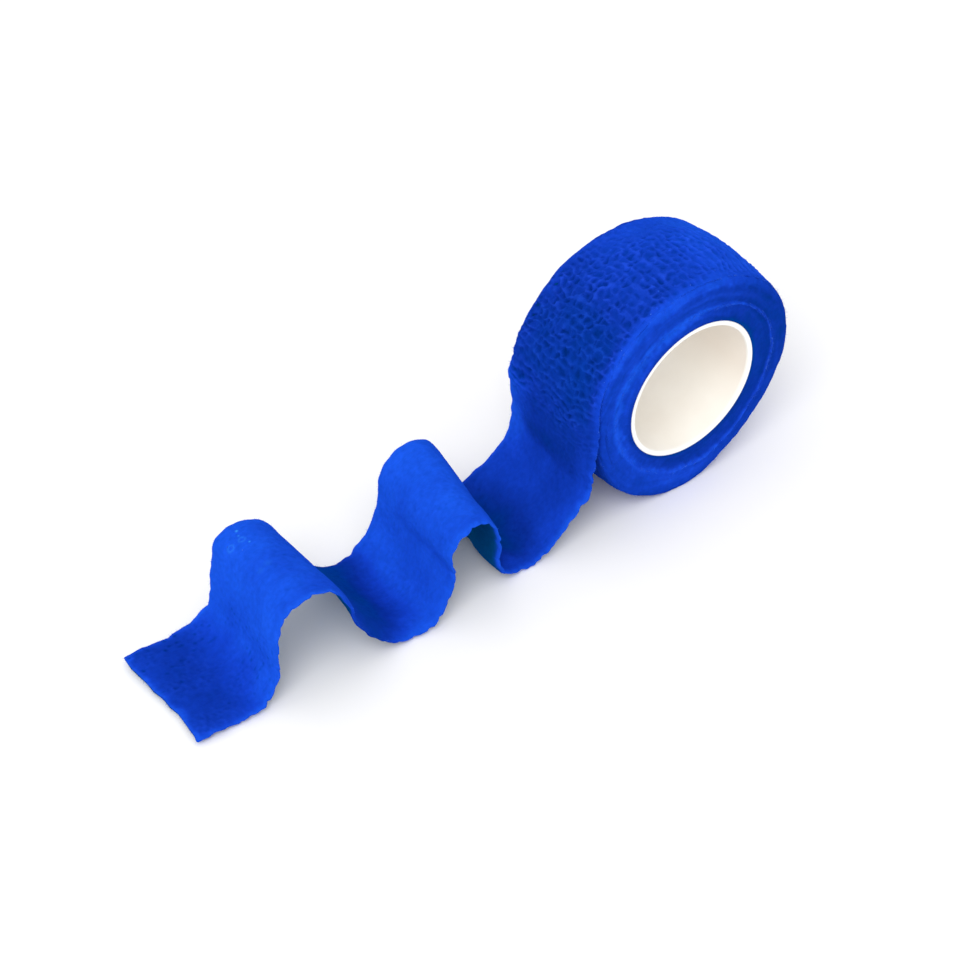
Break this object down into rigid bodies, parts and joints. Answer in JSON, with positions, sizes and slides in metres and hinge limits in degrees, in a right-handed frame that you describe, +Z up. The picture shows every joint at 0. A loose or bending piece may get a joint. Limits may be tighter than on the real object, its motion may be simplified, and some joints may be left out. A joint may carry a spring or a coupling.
{
  "type": "cohesive bandage roll",
  "caption": "Narrow roll of crinkled self-adhering elastic bandage on a white plastic core tube, standing on its rim, its loose end lying beside it in standing waves.",
  "frame": {"origin": "middle of the flat spot on which the roll stands, half way across its width", "axes": "+Z up; the roll's axis lies along Y and its near face looks towards -Y; the loose end runs from the roll towards -X"},
  "size_m": [0.1318, 0.0267, 0.0484],
  "materials": {
    "bandage_cloth": "royal blue crinkled nonwoven with elastic threads, matt and slightly tacky, netted pits and ridges on the wound face, smoother felt-like surface on the let-out end",
    "core_plastic": "warm white moulded plastic tube, smooth with a soft satin sheen"
  },
  "bodies": {
    "root": {"bandage": "bandage_cloth", "core": "core_plastic"}
  },
  "joints": []
}
